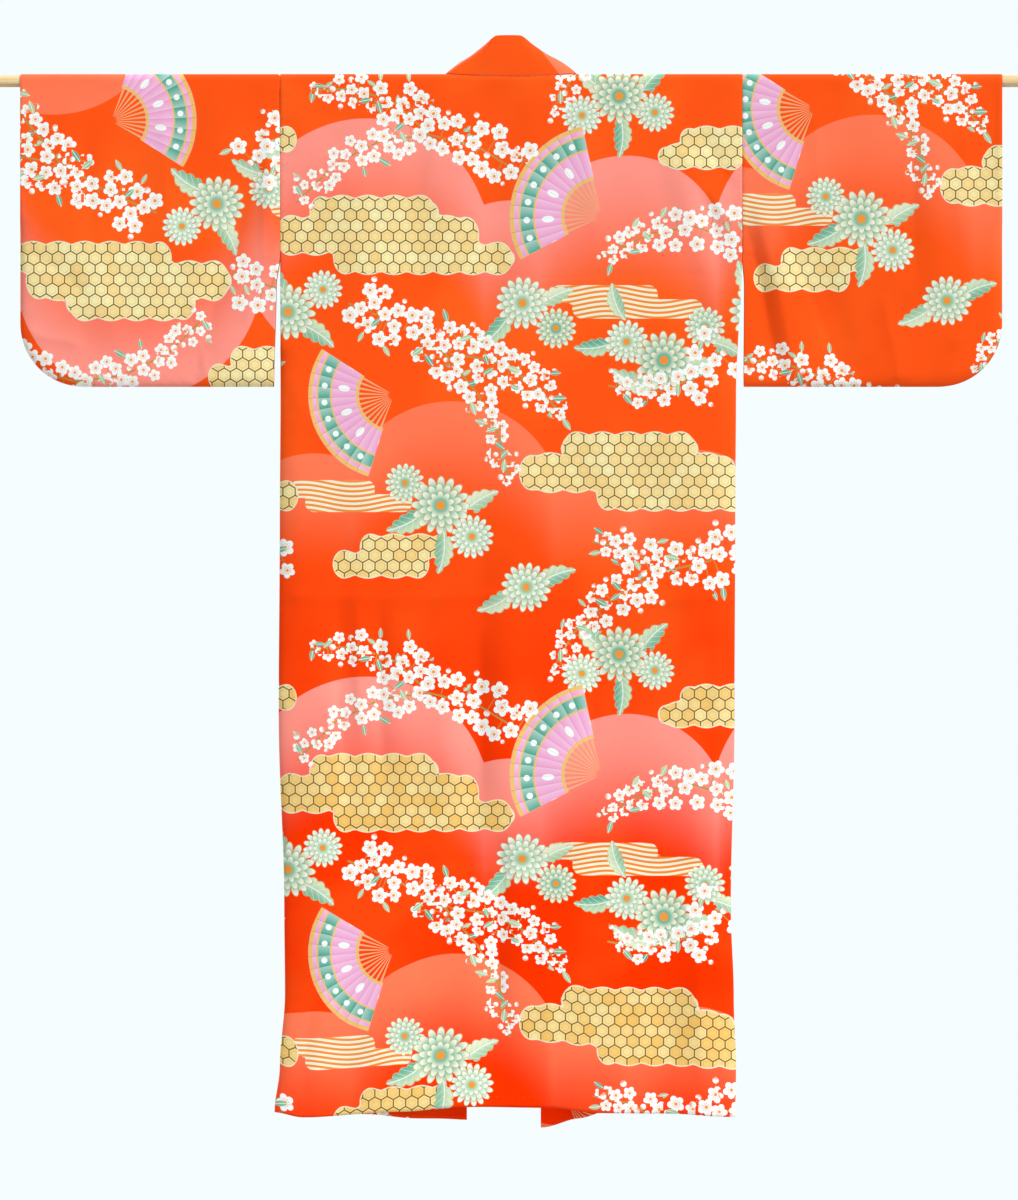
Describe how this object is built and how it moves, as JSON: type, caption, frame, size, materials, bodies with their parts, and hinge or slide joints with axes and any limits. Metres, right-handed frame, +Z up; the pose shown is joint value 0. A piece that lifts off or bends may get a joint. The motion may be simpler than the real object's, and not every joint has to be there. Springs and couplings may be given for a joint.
{
  "type": "kimono hung on a rod",
  "caption": "Kimono hung flat on a thin wooden rod through both sleeves, with open fronts, a standing collar and rounded pouch sleeves.",
  "frame": {"origin": "centre of the rod, on its axis, where the rod is held", "axes": "+X along the rod to the wearer's right, +Y towards the side of the two fronts, +Z up; the garment's back faces -Y"},
  "size_m": [1.5, 0.0597, 1.4628],
  "materials": {
    "cloth": "satin",
    "rod_wood": "satin"
  },
  "bodies": {
    "root": {"back": "cloth", "front_left": "cloth", "front_right": "cloth", "overlap_left": "cloth", "overlap_right": "cloth", "collar": "cloth", "sleeve_left": "cloth", "sleeve_right": "cloth", "rod": "rod_wood"}
  },
  "joints": []
}
